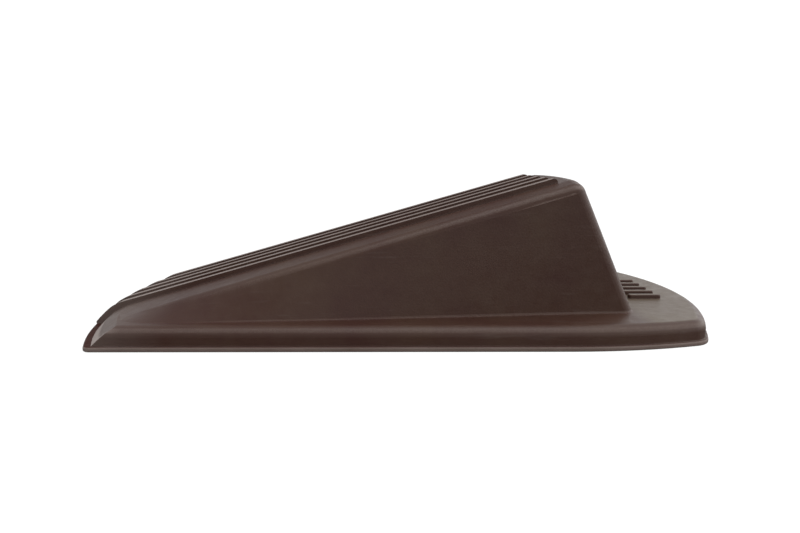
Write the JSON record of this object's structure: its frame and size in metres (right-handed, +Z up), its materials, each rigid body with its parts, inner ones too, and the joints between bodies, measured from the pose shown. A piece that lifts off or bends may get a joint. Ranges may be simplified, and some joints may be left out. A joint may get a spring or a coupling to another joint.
{
  "type": "door stop",
  "caption": "Solid rubber wedge door stop: a ramp with raised lengthwise grip ribs on a flat platform with a thin rim at the floor and a low heel pad behind a leaning rear wall.",
  "frame": {"origin": "centre of the footprint, on the floor under the stop", "axes": "+X along the stop from the thin nose to the heel, +Y across it, +Z up from the floor"},
  "size_m": [0.1206, 0.0572, 0.0285],
  "materials": {
    "body_rubber": "satin dark brown moulded rubber",
    "sole_rubber": "slightly dusty dark brown rubber",
    "tread_rubber": "satin dark brown rubber, rubbed a little smoother on top",
    "bar_rubber": "satin dark brown rubber"
  },
  "bodies": {
    "root": {"wedge_body": "body_rubber", "sole": "sole_rubber", "tread_rib_1": "tread_rubber", "tread_rib_2": "tread_rubber", "tread_rib_3": "tread_rubber", "tread_rib_4": "tread_rubber", "tread_rib_5": "tread_rubber", "heel_grip_bars": "bar_rubber"}
  },
  "joints": []
}
